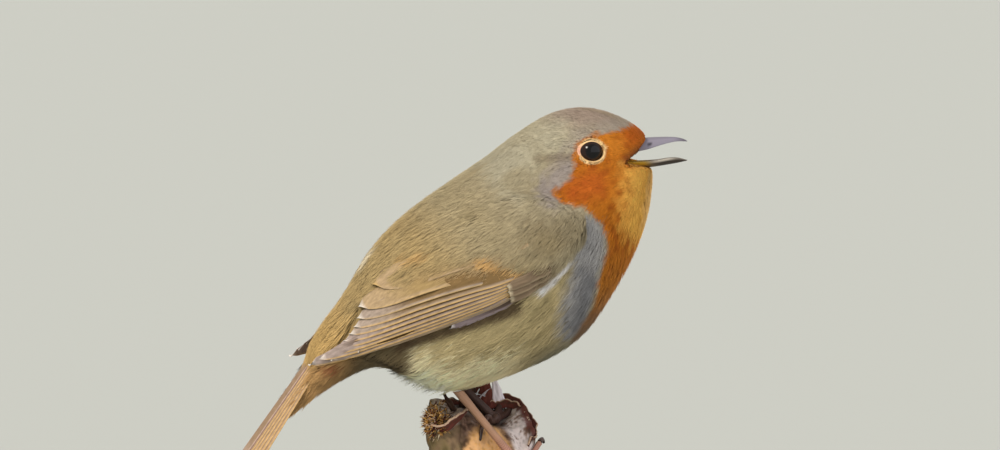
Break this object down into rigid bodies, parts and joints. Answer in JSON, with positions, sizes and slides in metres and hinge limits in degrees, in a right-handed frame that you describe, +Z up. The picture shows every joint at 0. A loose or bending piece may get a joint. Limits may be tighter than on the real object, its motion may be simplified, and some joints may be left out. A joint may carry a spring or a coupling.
{
  "type": "european robin figure",
  "caption": "Life-size still model of a European robin calling with its bill open, gripping a gnarled branch stub held on a plain round display stand",
  "frame": {"origin": "Middle of the stand base's underside, the flat face that lies on the table.", "axes": "+X is the way the bird's body faces, +Y is its left side, +Z is up. The head is turned 12 degrees to the bird's right, towards -Y."},
  "size_m": [0.1126, 0.09, 0.1366],
  "materials": {
    "plumage_orange": "soft contour feathers of face, throat and breast",
    "plumage_olive": "soft olive-brown contour feathers of crown, back and wing coverts",
    "plumage_belly": "soft buff and grey-white feathers of flank and belly",
    "flight_feathers": "smooth stiff vanes, brown with paler edges",
    "tail_feathers": "smooth stiff vanes, grey-brown with rusty edges",
    "eye": "wet, clear cornea over a black-brown iris",
    "bill_horn": "satin horn",
    "leg_scales": "satin scaled skin",
    "claw_horn": "satin dark horn",
    "perch_bark": "rough weathered bark and torn wood",
    "stand_wood": "dark oiled hardwood, satin",
    "stand_steel": "brushed"
  },
  "bodies": {
    "root": {"head": "plumage_orange", "neck": "plumage_orange", "breast": "plumage_orange", "belly": "plumage_belly", "thigh_right": "plumage_belly", "thigh_left": "plumage_belly", "rump": "plumage_olive", "wing_coverts_right": "plumage_olive", "wing_coverts_left": "plumage_olive", "wing_secondaries_right": "flight_feathers", "wing_secondaries_left": "flight_feathers", "wing_primaries_right": "flight_feathers", "wing_primaries_left": "flight_feathers", "tail": "tail_feathers", "eye_right": "eye", "eye_left": "eye", "bill_upper": "bill_horn", "bill_lower": "bill_horn", "tarsus_right": "leg_scales", "tarsus_left": "leg_scales", "foot_right": "leg_scales", "foot_left": "leg_scales", "claw_inner_right": "claw_horn", "claw_middle_right": "claw_horn", "claw_outer_right": "claw_horn", "claw_hind_right": "claw_horn", "claw_inner_left": "claw_horn", "claw_middle_left": "claw_horn", "claw_outer_left": "claw_horn", "claw_hind_left": "claw_horn", "perch": "perch_bark", "stand_base": "stand_wood", "stand_rod": "stand_steel"}
  },
  "joints": []
}
